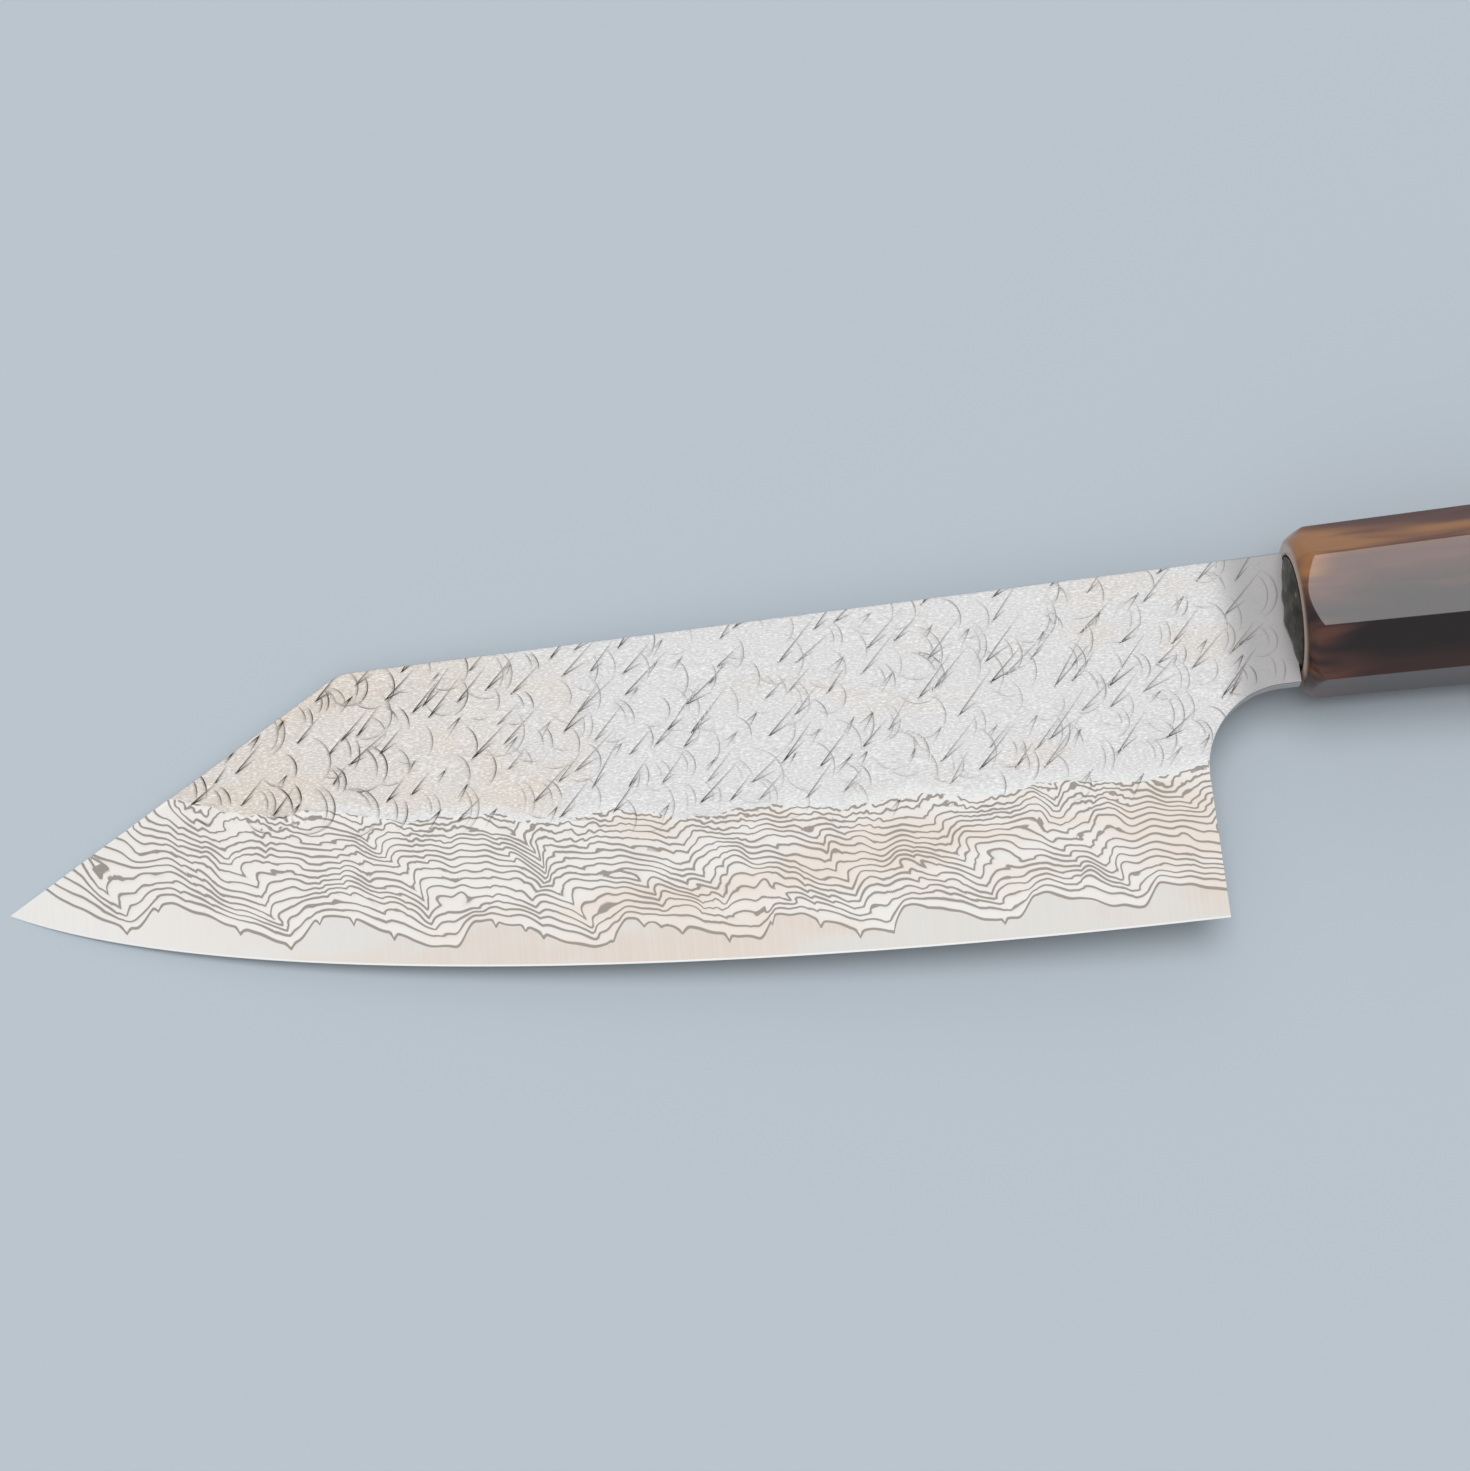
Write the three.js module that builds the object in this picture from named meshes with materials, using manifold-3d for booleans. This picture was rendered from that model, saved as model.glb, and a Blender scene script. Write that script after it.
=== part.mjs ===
// Bunka kitchen knife: a laminated, hammered blade on an octagonal stick handle.
//
// Units are millimetres. The pieces are drawn with the origin on the handle's axis, at the front face of
// the ferrule: +X runs to the butt, +Y to the spine and +Z out of the left face of the blade. The finished
// group is then moved so that its origin is the middle of the bottom of its bounding box.

import * as THREE from "three";
import { mergeVertices } from "three/addons/utils/BufferGeometryUtils.js";
import Module from "manifold-3d";

const wasm = await Module();
wasm.setup();

// Blade outline, seen on its left face
const neckLength = 14.65; // from the ferrule to the heel
const bladeReach = 164; // from the heel to the tip, along the handle
const bladeHeight = 49.6; // from the edge to the spine, at the heel
const neckTop = 8.6; // spine above the handle's axis, at the ferrule
const neckHeight = 18.6;
const choilRadius = 12; // between the heel and the neck
const spineFall = 1.95; // of the spine, from the ferrule to the clip
const clipRun = 47.2; // length of the slanted clip, along the handle
const clipRound = 4; // length of the rounding on each side of the clip's corner
const tipRise = 19.3; // tip above the edge at the heel
const heelArm = 75; // how far the edge runs straight out from the heel
const tipArm = 28; // how far the edge runs straight out from the tip
const tipEdgeAngle = 26.6; // degrees, slope of the edge at the tip

// Blade section
const neckThickness = 3.4;
const heelThickness = 3.1; // at the spine
const tipThickness = 1.1; // of the spine's line, carried on to the tip
const wedge = 0.021; // how much each face falls towards the edge, per millimetre of height
const grindHeight = 19; // of the bevel, above the edge
const bevelBulge = 0.12; // extra thickness half way down the bevel, as a share of the bevel's own

// Layers of the blade
const coreBand = 4.5; // height of the bare core above the edge
const coreWave = 1.3;
const patternBand = 20.6; // height of the patterned layers' upper line above the edge
const patternWave = 0.6;
const wavePeriod = 20;
const wavePhase = 2.2;
const weldLine = 0.02; // between two layers
const stationStep = 1.65; // spacing of the sections along the blade

// Tang
const tangLength = 96; // behind the shoulders
const tangFrontHeight = 11;
const tangEndHeight = 6.5;
const tangEndThickness = 2.4;
const shoulderGap = 0.3; // between the shoulders and the ferrule

// Handle
const handleLength = 130;
const ferruleLength = 30;
const frontWidth = 22; // spine side to edge side
const frontThickness = 21.4;
const buttWidth = 26.4;
const buttThickness = 25;
const bevelLeg = 6; // of the handle's four bevels
const noseRadius = 10.2; // of the ferrule's front face
const noseSlope = 0.74; // how fast the nose's cone widens, per millimetre
const buttChamfer = 1.2;

// Fits inside the handle
const boreRadius = 8.2; // through the ferrule
const mouthDepth = 2.5; // of the resin in the ferrule's mouth
const mouthRise = 1.4; // of the resin in front of the ferrule
const slotRoom = 1.2; // between the tang and its slot, filled with resin
const slotEndRoom = 2; // beyond the end of the tang
const glueLine = 0.15;

// Places worked out from the sizes
const heelX = -neckLength;
const tipX = heelX - bladeReach;
const clipX = tipX + clipRun;
const tangEndX = tangLength - shoulderGap;
const spineSlope = spineFall / -clipX;
const neckBottom = neckTop - neckHeight;
const heelEdgeY = spineY(heelX) - bladeHeight;
const tipY = heelEdgeY + tipRise;
const choil = Math.min(choilRadius, neckLength - 2 * shoulderGap);
const slotEndX = tangEndX + slotEndRoom;
const clearOfBlade = 6; // how far cutting shapes reach past what they cut
const roundSides = 64;

// Materials
const coreSteel = new THREE.MeshStandardMaterial({ color: 0xdedbd6, roughness: 0.22, metalness: 1 });
const patternSteel = new THREE.MeshStandardMaterial({ color: 0xc4c0bb, roughness: 0.3, metalness: 1 });
const hammeredSteel = new THREE.MeshStandardMaterial({ color: 0xd2d0cd, roughness: 0.42, metalness: 1 });
const brownHorn = new THREE.MeshStandardMaterial({ color: 0x4a352a, roughness: 0.25, metalness: 0 });
const darkWood = new THREE.MeshStandardMaterial({ color: 0x3a2620, roughness: 0.45, metalness: 0 });
const darkResin = new THREE.MeshStandardMaterial({ color: 0x1c1b14, roughness: 0.3, metalness: 0 });

function solidOf(geometry) {
  const bare = geometry.index ? geometry.clone() : geometry;
  bare.deleteAttribute("normal");
  bare.deleteAttribute("uv");
  const merged = mergeVertices(bare, 1e-5);
  return new wasm.Manifold(
    new wasm.Mesh({
      numProp: 3,
      vertProperties: new Float32Array(merged.attributes.position.array),
      triVerts: new Uint32Array(merged.index.array),
    }),
  );
}

function meshOf(name, solid, material) {
  const { vertProperties, triVerts } = solid.getMesh();
  const geometry = new THREE.BufferGeometry();
  geometry.setAttribute("position", new THREE.BufferAttribute(vertProperties, 3));
  geometry.setIndex(new THREE.BufferAttribute(triVerts, 1));
  geometry.computeVertexNormals();
  const mesh = new THREE.Mesh(geometry, material);
  mesh.name = name;
  return mesh;
}

// A solid through sections in order of x. A section is { x, points }, its points [y, z] counter-clockwise
// as seen from the butt, convex, and as many in every section.
function loft(sections) {
  const count = sections[0].points.length;
  const corners = sections.flatMap(({ x, points }) => points.map(([y, z]) => [x, y, z]));
  const faces = [];
  for (let row = 0; row + 1 < sections.length; row++) {
    for (let side = 0; side < count; side++) {
      const next = (side + 1) % count;
      const a = row * count + side;
      const b = row * count + next;
      faces.push(a, b, b + count);
      faces.push(a, b + count, a + count);
    }
  }
  const last = (sections.length - 1) * count;
  for (let corner = 1; corner + 1 < count; corner++) {
    faces.push(0, corner + 1, corner);
    faces.push(last, last + corner, last + corner + 1);
  }
  const geometry = new THREE.BufferGeometry();
  geometry.setAttribute("position", new THREE.Float32BufferAttribute(corners.flat(), 3));
  geometry.setIndex(faces);
  return solidOf(geometry);
}

// A solid turned round the handle's axis from a profile of [x, radius] points.
function turned(profile) {
  const points = profile.map(([x, radius]) => new THREE.Vector2(radius, x));
  const geometry = new THREE.LatheGeometry(points, roundSides);
  geometry.rotateZ(-Math.PI / 2);
  return solidOf(geometry);
}

// Blade: the outline and the surface of one face

function spineY(x) {
  return neckTop + spineSlope * x;
}

const edgeCurve = new THREE.CubicBezierCurve(
  new THREE.Vector2(heelX, heelEdgeY),
  new THREE.Vector2(heelX - heelArm, heelEdgeY),
  new THREE.Vector2(
    tipX + tipArm * Math.cos(THREE.MathUtils.degToRad(tipEdgeAngle)),
    tipY - tipArm * Math.sin(THREE.MathUtils.degToRad(tipEdgeAngle)),
  ),
  new THREE.Vector2(tipX, tipY),
);

function spineHalfThickness(x) {
  if (x > 0) {
    return THREE.MathUtils.mapLinear(x, 0, tangEndX, neckThickness, tangEndThickness) / 2;
  }
  if (x > heelX) {
    return THREE.MathUtils.mapLinear(x, 0, heelX, neckThickness, heelThickness) / 2;
  }
  return THREE.MathUtils.mapLinear(x, heelX, tipX, heelThickness, tipThickness) / 2;
}

// Half the thickness where the face is flat, above the bevel.
function flatHalfThickness(x, y) {
  return spineHalfThickness(x) - wedge * (spineY(x) - y);
}

// A skewed wave: it climbs steeply towards the heel and falls slowly, as forged layers do.
function layerWave(x) {
  const turn = (2 * Math.PI * x) / wavePeriod + wavePhase;
  return Math.sin(turn) + Math.sin(2 * turn) / 2;
}

// Every place on one section of the left face that the layers share.
function faceAt(x, edgeY) {
  const grindY = edgeY + grindHeight;
  const grindZ = flatHalfThickness(x, grindY);
  const middleZ = grindZ * (0.5 + bevelBulge);
  const edgeSlope = (2 * middleZ) / grindHeight;
  const coreY = edgeY + coreBand + coreWave * layerWave(x);
  const patternY = edgeY + patternBand + patternWave * Math.sin((2 * Math.PI * x) / wavePeriod);
  const topY = neckTop + clearOfBlade;
  return {
    x,
    edgeY,
    middle: [edgeY + grindHeight / 2, middleZ],
    grind: [grindY, grindZ],
    coreY,
    coreZ: edgeSlope * (coreY - edgeY),
    edgeSlope,
    patternY,
    patternZ: flatHalfThickness(x, patternY),
    topY,
    topZ: flatHalfThickness(x, topY),
  };
}

function bladeFaces() {
  const steps = Math.round(bladeReach / stationStep);
  const pastTip = 2;
  const faces = [];
  for (let step = steps + pastTip; step >= 0; step--) {
    const { x, y } = edgeCurve.getPoint(step / steps);
    faces.push(faceAt(x, y));
  }
  faces.push(faceAt(0, heelEdgeY));
  faces.push(faceAt(tangEndX + clearOfBlade, heelEdgeY));
  return faces;
}

function bladeOutline() {
  const belowEdge = heelEdgeY - clearOfBlade;
  const corner = new THREE.Vector2(clipX, spineY(clipX));
  const clipDirection = new THREE.Vector2(tipX - clipX, tipY - corner.y).normalize();
  const clipStart = corner.clone().addScaledVector(clipDirection, clipRound);
  const pastTip = new THREE.Vector2(tipX, tipY).addScaledVector(clipDirection, clearOfBlade);
  const shape = new THREE.Shape();
  shape.moveTo(heelX, belowEdge);
  shape.lineTo(heelX, neckBottom - choil);
  shape.absarc(heelX + choil, neckBottom - choil, choil, Math.PI, Math.PI / 2, true);
  shape.lineTo(-shoulderGap, neckBottom);
  shape.lineTo(-shoulderGap, -tangFrontHeight / 2);
  shape.lineTo(tangEndX, -tangEndHeight / 2);
  shape.lineTo(tangEndX, tangEndHeight / 2);
  shape.lineTo(-shoulderGap, tangFrontHeight / 2);
  shape.lineTo(-shoulderGap, spineY(-shoulderGap));
  shape.lineTo(clipX + clipRound, spineY(clipX + clipRound));
  shape.quadraticCurveTo(corner.x, corner.y, clipStart.x, clipStart.y);
  shape.lineTo(pastTip.x, pastTip.y);
  shape.lineTo(pastTip.x, belowEdge);
  return shape;
}

// The blank that every layer of the blade is cut to.
function bladeBlank() {
  const depth = neckThickness + clearOfBlade;
  const geometry = new THREE.ExtrudeGeometry(bladeOutline(), { depth, bevelEnabled: false, curveSegments: 14 });
  geometry.translate(0, 0, -depth / 2);
  return solidOf(geometry);
}

function coreSection(face) {
  const { x, edgeY, coreY, coreZ, topY } = face;
  return { x, points: [[edgeY, 0], [coreY, -coreZ], [topY, -coreZ], [topY, coreZ], [coreY, coreZ]] };
}

function patternSection(face) {
  const { x, edgeY, coreZ, edgeSlope, middle, grind, patternY, patternZ, topY } = face;
  const innerZ = coreZ + weldLine;
  const startY = edgeY + innerZ / edgeSlope;
  return {
    x,
    points: [[startY, innerZ], [topY, innerZ], [topY, patternZ], [patternY, patternZ], grind, middle],
  };
}

function hammeredSection(face) {
  const { x, patternY, patternZ, topY, topZ } = face;
  const innerZ = patternZ + weldLine;
  return { x, points: [[patternY + weldLine / wedge, innerZ], [topY, innerZ], [topY, topZ]] };
}

// The same section on the right face.
function mirrored({ x, points }) {
  return { x, points: points.map(([y, z]) => [y, -z]).reverse() };
}

// Handle

function handleSize(x) {
  return {
    width: THREE.MathUtils.mapLinear(x, 0, handleLength, frontWidth, buttWidth),
    thickness: THREE.MathUtils.mapLinear(x, 0, handleLength, frontThickness, buttThickness),
  };
}

function octagonSection(x) {
  const { width, thickness } = handleSize(x);
  const right = width / 2;
  const top = thickness / 2;
  const inRight = right - bevelLeg;
  const inTop = top - bevelLeg;
  return {
    x,
    points: [
      [right, -inTop],
      [right, inTop],
      [inRight, top],
      [-inRight, top],
      [-right, inTop],
      [-right, -inTop],
      [-inRight, -top],
      [inRight, -top],
    ],
  };
}

function blockSection(x, height, thickness) {
  const y = height / 2;
  const z = thickness / 2;
  return { x, points: [[y, -z], [y, z], [-y, z], [-y, -z]] };
}

// A block round the tang, larger than it by room on every side.
function tangBlock(fromX, toX, room) {
  const section = (x) =>
    blockSection(
      x,
      THREE.MathUtils.mapLinear(x, -shoulderGap, tangEndX, tangFrontHeight, tangEndHeight) + 2 * room,
      2 * spineHalfThickness(Math.max(x, 0)) + 2 * room,
    );
  return loft([section(fromX), section(toX)]);
}

function hornFerrule() {
  const reach = noseRadius + noseSlope * ferruleLength;
  const block = loft([octagonSection(0), octagonSection(ferruleLength)]);
  const nose = turned([[0, 0], [0, noseRadius], [ferruleLength, reach], [ferruleLength, 0]]);
  const bore = turned([
    [-clearOfBlade, 0],
    [-clearOfBlade, boreRadius],
    [ferruleLength + clearOfBlade, boreRadius],
    [ferruleLength + clearOfBlade, 0],
  ]);
  return block.intersect(nose).subtract(bore);
}

function woodBody() {
  const frontX = ferruleLength + glueLine;
  const tenonRadius = boreRadius - glueLine;
  const reach = Math.hypot(buttWidth, buttThickness) / 2;
  const endRadius = buttWidth / 2 - buttChamfer;
  const block = loft([octagonSection(frontX), octagonSection(handleLength)]);
  const butt = turned([
    [frontX - clearOfBlade, 0],
    [frontX - clearOfBlade, reach],
    [handleLength - (reach - endRadius), reach],
    [handleLength, endRadius],
    [handleLength, 0],
  ]);
  const tenon = turned([
    [mouthDepth, 0],
    [mouthDepth, tenonRadius],
    [frontX + clearOfBlade, tenonRadius],
    [frontX + clearOfBlade, 0],
  ]);
  const slot = tangBlock(-clearOfBlade, slotEndX, slotRoom);
  return block.intersect(butt).add(tenon).subtract(slot);
}

function tangResin() {
  const radius = boreRadius - glueLine;
  const domeSteps = 8;
  const dome = [];
  for (let step = 0; step <= domeSteps; step++) {
    const share = step / domeSteps;
    dome.push([-mouthRise * (1 - share * share), radius * share]);
  }
  const mouth = turned([...dome, [mouthDepth - glueLine, radius], [mouthDepth - glueLine, 0]]);
  const sleeve = tangBlock(0, slotEndX - glueLine, slotRoom - glueLine);
  const neckRoom = loft([
    neckBlockSection(-mouthRise - clearOfBlade),
    neckBlockSection(0),
  ]);
  const tangRoom = tangBlock(-clearOfBlade, tangEndX + glueLine, glueLine);
  return mouth.add(sleeve).subtract(neckRoom).subtract(tangRoom);
}

// The neck of the blade with a glue line round it.
function neckBlockSection(x) {
  const low = neckBottom - glueLine;
  const high = neckTop + glueLine;
  const z = neckThickness / 2 + glueLine;
  return { x, points: [[high, -z], [high, z], [low, z], [low, -z]] };
}

// Assembly

const faces = bladeFaces();
const blank = bladeBlank();
const layer = (section) => loft(faces.map(section)).intersect(blank);

const knife = new THREE.Group();
knife.add(
  meshOf("core_steel", layer(coreSection), coreSteel),
  meshOf("damascus_left", layer(patternSection), patternSteel),
  meshOf("damascus_right", layer((face) => mirrored(patternSection(face))), patternSteel),
  meshOf("hammered_skin_left", layer(hammeredSection), hammeredSteel),
  meshOf("hammered_skin_right", layer((face) => mirrored(hammeredSection(face))), hammeredSteel),
  meshOf("horn_ferrule", hornFerrule(), brownHorn),
  meshOf("handle_body", woodBody(), darkWood),
  meshOf("tang_resin", tangResin(), darkResin),
);

const box = new THREE.Box3().setFromObject(knife);
knife.position.set(-(box.min.x + box.max.x) / 2, -(box.min.y + box.max.y) / 2, -box.min.z);
knife.updateMatrixWorld(true);

export default knife;
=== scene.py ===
"""Bunka kitchen knife: the fine surface, materials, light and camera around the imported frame.

Lengths are metres. The pieces are drawn with the origin on the handle's axis, at the front face of the
ferrule: x runs to the butt, y to the spine and z out of the left face of the blade.
"""

import math

import bmesh
import bpy
import numpy as np
from mathutils import Matrix, Vector


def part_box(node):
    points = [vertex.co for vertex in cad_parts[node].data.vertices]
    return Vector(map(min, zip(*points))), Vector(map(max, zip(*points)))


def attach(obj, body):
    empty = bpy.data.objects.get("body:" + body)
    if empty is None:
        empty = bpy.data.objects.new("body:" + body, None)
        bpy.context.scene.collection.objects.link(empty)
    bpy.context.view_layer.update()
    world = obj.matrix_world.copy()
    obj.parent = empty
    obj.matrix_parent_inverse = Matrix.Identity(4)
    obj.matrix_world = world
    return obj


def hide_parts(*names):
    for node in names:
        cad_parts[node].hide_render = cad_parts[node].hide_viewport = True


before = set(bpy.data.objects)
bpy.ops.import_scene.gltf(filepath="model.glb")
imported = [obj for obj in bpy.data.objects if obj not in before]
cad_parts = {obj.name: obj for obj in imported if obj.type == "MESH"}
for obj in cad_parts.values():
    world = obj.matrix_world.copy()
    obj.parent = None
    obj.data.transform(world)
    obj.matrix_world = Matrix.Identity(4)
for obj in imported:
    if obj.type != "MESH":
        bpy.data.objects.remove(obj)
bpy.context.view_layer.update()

MM = 0.001

# Blade outline
NECK_LENGTH = 14.65 * MM
BLADE_REACH = 164 * MM
BLADE_HEIGHT = 49.6 * MM
NECK_TOP = 8.6 * MM
NECK_HEIGHT = 18.6 * MM
CHOIL_RADIUS = 12 * MM
SPINE_FALL = 1.95 * MM
CLIP_RUN = 47.2 * MM
CLIP_ROUND = 0.3 * MM
TIP_RISE = 19.3 * MM
HEEL_ARM = 75 * MM
TIP_ARM = 28 * MM
TIP_EDGE_ANGLE = math.radians(26.6)
SHOULDER_GAP = 0.3 * MM

# Blade section
NECK_THICKNESS = 3.4 * MM
HEEL_THICKNESS = 3.1 * MM
TIP_THICKNESS = 1.1 * MM
WEDGE = 0.021
GRIND_HEIGHT = 19 * MM
BEVEL_BULGE = 0.48
EDGE_LAND = 0.03 * MM
MICRO_BEVEL = 0.2
OUTLINE_ROUND = 0.14 * MM
WELD_LINE = 0.02 * MM
SKIN_SINK = 0.15 * MM
TANG_LENGTH = 96 * MM
TANG_FRONT_HEIGHT = 11 * MM
TANG_END_HEIGHT = 6.5 * MM
TANG_END_THICKNESS = 2.4 * MM

# Layers: places of the steep fronts of the forged waves, borders of the layers and their etched lines
FRONTS = np.array([-183.4, -161.9, -140.4, -119.1, -98.9, -78.3, -60.9, -43.3, -26.1, -9, 8]) * MM
WAVE = 3.5 * MM
WAVE_LEAN = 0.75
CORE_BAND = 2.5 * MM
CORE_RAGGED = 0.5 * MM
CORE_SPIKE = 1 * MM
CORE_LEAST = 0.9 * MM
PATTERN_LEAST = 0.03 * MM
SKIN_LEAST = 0.05 * MM
PATTERN_BAND = 20.6 * MM
PATTERN_WAVE = 0.6 * MM
PATTERN_WAVE_LENGTH = 20 * MM
PATTERN_RAGGED = 0.5 * MM
LAYER_PITCH = 1.05 * MM
FIRST_LAYER = 0.85 * MM
FIRST_LINE_SHARE = 0.45
LINE_HALF_WIDTH = 0.14 * MM

# Ripples of the layer lines: the length of one, the height over which it changes, and its size
RIPPLES = np.array([[10.5, 8, 1.3], [5.6, 5, 0.6], [3.1, 4, 0.25]]) * MM

# Hammer marks: gouges of two straight strokes, and shallow dents with curved rims
GOUGE_SPACING = 4.8 * MM
STROKE_DEGREES = 46
STROKE_WIDTH = 0.07 * MM
GROOVE_WIDTH = 0.17 * MM
GROOVE_DEPTH = 0.05 * MM
DENT_SPACING = 5.2 * MM
DENT_RADIUS = 3 * MM
DENT_DEPTH = 0.05 * MM
RIM_WIDTH = 0.06 * MM
UNEVENNESS = 0.015 * MM
MARK_REACH = 0.8 * MM
MARK_RUN_OUT = 0.6 * MM
NET_LENGTH = 190 * MM
NET_HEIGHT = 60 * MM
NET_ROW_SHARE = 0.87
PLAIN_NECK = 5 * MM
DARK_NECK = 12 * MM
LEFT_SEED = 4
RIGHT_SEED = 9

# Handle
HANDLE_LENGTH = 130 * MM
FERRULE_LENGTH = 30 * MM
FRONT_WIDTH = 22 * MM
FRONT_THICKNESS = 21.4 * MM
BUTT_WIDTH = 26.4 * MM
BUTT_THICKNESS = 25 * MM
BEVEL_LEG = 6 * MM
NOSE_RADIUS = 10.2 * MM
NOSE_SLOPE = 0.74
BUTT_CHAMFER = 1.2 * MM
BORE_RADIUS = 8.2 * MM
MOUTH_DEPTH = 2.5 * MM
MOUTH_RISE = 1.6 * MM
SLOT_ROOM = 1.2 * MM
SLOT_END_ROOM = 2 * MM
GLUE_LINE = 0.15 * MM
JOINT_CHAMFER = 0.12 * MM
BUTT_ROUND = 0.35 * MM
BUTT_ROUND_LENGTH = 0.6 * MM
EDGE_SHARPNESS = 350
CONE_SHARPNESS = 130

# Fineness of the meshes. The left side of the blade is finer, as the camera sees it
BLADE_STEP = 0.2 * MM
NECK_STEP = 0.4 * MM
PATTERN_HEIGHT = 17 * MM
SKIN_HEIGHT = 29 * MM
LEFT_PATTERN_RISE = 0.2 * MM
RIGHT_PATTERN_RISE = 0.3 * MM
LEFT_SKIN_STEP = 0.18 * MM
LEFT_SKIN_RISE = 0.277 * MM
RIGHT_SKIN_STEP = 0.3 * MM
RIGHT_SKIN_RISE = 0.45 * MM
JOIN_DISTANCE = 0.0005 * MM
CREASE_ANGLE = math.radians(35)

# Places worked out from the sizes
HEEL_X = -NECK_LENGTH
TIP_X = HEEL_X - BLADE_REACH
CLIP_X = TIP_X + CLIP_RUN
TANG_END_X = TANG_LENGTH - SHOULDER_GAP
SPINE_SLOPE = SPINE_FALL / -CLIP_X
NECK_BOTTOM = NECK_TOP - NECK_HEIGHT
HEEL_EDGE_Y = NECK_TOP + SPINE_SLOPE * HEEL_X - BLADE_HEIGHT
TIP_Y = HEEL_EDGE_Y + TIP_RISE
CLIP_Y = NECK_TOP + SPINE_SLOPE * CLIP_X
SLOT_END_X = TANG_END_X + SLOT_END_ROOM
ferrule_low, ferrule_high = (np.array(corner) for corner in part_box("horn_ferrule"))
ORIGIN = np.array([ferrule_low[0], *(ferrule_low + ferrule_high)[1:] / 2])


# Small tools

def smooth(value):
    value = np.clip(value, 0, 1)
    return value * value * (3 - 2 * value)


def fade(distance):
    """A bell that is 1 at 0 and runs out smoothly at 1."""
    distance = np.abs(distance)
    return (1 - distance) ** 3 * (1 + 3 * distance + 6 * distance ** 2)


def noise_field(seed):
    """Smooth random hills between about -1 and 1, one to each unit of u and v."""
    size = 128
    lean = np.random.default_rng(seed).uniform(0, 2 * math.pi, (size, size))
    lean_u = np.cos(lean)
    lean_v = np.sin(lean)

    def noise(u, v):
        u, v = np.broadcast_arrays(u, v)
        column = np.floor(u).astype(int)
        row = np.floor(v).astype(int)
        total = 0
        for right, up in ((0, 0), (1, 0), (0, 1), (1, 1)):
            place = (column + right) % size, (row + up) % size
            from_u = u - column - right
            from_v = v - row - up
            total = total + fade(from_u) * fade(from_v) * (lean_u[place] * from_u + lean_v[place] * from_v)
        return 1.6 * total

    return noise


broad_noise = noise_field(3)
middle_noise = noise_field(5)
fine_noise = noise_field(7)
warp_noise = noise_field(11)


# Meshes

def grid_faces(rows, columns, wrap_rows=False, wrap_columns=False):
    row = np.arange(rows if wrap_rows else rows - 1)
    column = np.arange(columns if wrap_columns else columns - 1)
    row, column = np.meshgrid(row, column, indexing="ij")
    next_row = (row + 1) % rows
    next_column = (column + 1) % columns
    corners = [row * columns + column, row * columns + next_column,
               next_row * columns + next_column, next_row * columns + column]
    return np.stack(corners, axis=-1).reshape(-1, 4)


def split_on_rise(quads):
    """Triangles whose shared side runs from the first to the third corner."""
    return np.concatenate([quads[:, [0, 1, 2]], quads[:, [0, 2, 3]]])


def loft(loops, values=None, split=False):
    """A closed body through loops of points, with flat ends."""
    count, around, _ = loops.shape
    sides = grid_faces(count, around, wrap_columns=True)
    faces = (split_on_rise(sides) if split else sides).tolist()
    faces.append(list(range(around))[::-1])
    faces.append(list(range((count - 1) * around, count * around)))
    return loops.reshape(-1, 3), faces, values or {}


def turned(profiles, closed=False, values=None):
    """A body round the axis. The profiles are the same row of points at each turn."""
    turns, along, _ = profiles.shape
    faces = grid_faces(turns, along, wrap_rows=True, wrap_columns=closed).tolist()
    return profiles.reshape(-1, 3), faces, values or {}


def mirrored(part):
    points, faces, values = part
    return points * [1, 1, -1], faces, values


def closed_mesh(part):
    """A mesh of one part, with equal points joined and its faces turned outwards."""
    points, faces, values = part
    mesh = bpy.data.meshes.new("part")
    mesh.from_pydata((points + ORIGIN).tolist(), [], faces)
    for name, value in values.items():
        mesh.attributes.new(name, "FLOAT", "POINT").data.foreach_set("value", value)
    shell = bmesh.new()
    shell.from_mesh(mesh)
    bmesh.ops.remove_doubles(shell, verts=shell.verts, dist=JOIN_DISTANCE)
    bmesh.ops.recalc_face_normals(shell, faces=shell.faces)
    shell.to_mesh(mesh)
    shell.free()
    return mesh


def make_piece(name, node, material, parts):
    """One object from closed parts, standing for a node of the frame."""
    joined = bmesh.new()
    for part in parts:
        part_mesh = closed_mesh(part)
        joined.from_mesh(part_mesh)
        bpy.data.meshes.remove(part_mesh)
    mesh = bpy.data.meshes.new(name)
    joined.to_mesh(mesh)
    joined.free()
    mesh.shade_smooth()
    mesh.set_sharp_from_angle(angle=CREASE_ANGLE)
    mesh.materials.append(material)
    piece = bpy.data.objects.new(name, mesh)
    bpy.context.scene.collection.objects.link(piece)
    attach(piece, "root")
    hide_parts(node)


# Blade outline and section

def spine_y(x):
    return NECK_TOP + SPINE_SLOPE * x


def clip_y(x):
    return TIP_Y + (x - TIP_X) * (CLIP_Y - TIP_Y) / CLIP_RUN


def top_y(x):
    gap = (clip_y(x) - spine_y(x)) / CLIP_ROUND
    return spine_y(x) - CLIP_ROUND * np.logaddexp(0, -np.clip(gap, -200, 200))


def edge_curve():
    share = np.linspace(0, 1, 4001)[:, None]
    arms = np.array([
        [HEEL_X, HEEL_EDGE_Y],
        [HEEL_X - HEEL_ARM, HEEL_EDGE_Y],
        [TIP_X + TIP_ARM * math.cos(TIP_EDGE_ANGLE), TIP_Y - TIP_ARM * math.sin(TIP_EDGE_ANGLE)],
        [TIP_X, TIP_Y],
    ])
    weights = [(1 - share) ** 3, 3 * (1 - share) ** 2 * share, 3 * (1 - share) * share ** 2, share ** 3]
    curve = sum(weight * arm for weight, arm in zip(weights, arms))
    return curve[::-1]


EDGE_CURVE = edge_curve()


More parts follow.
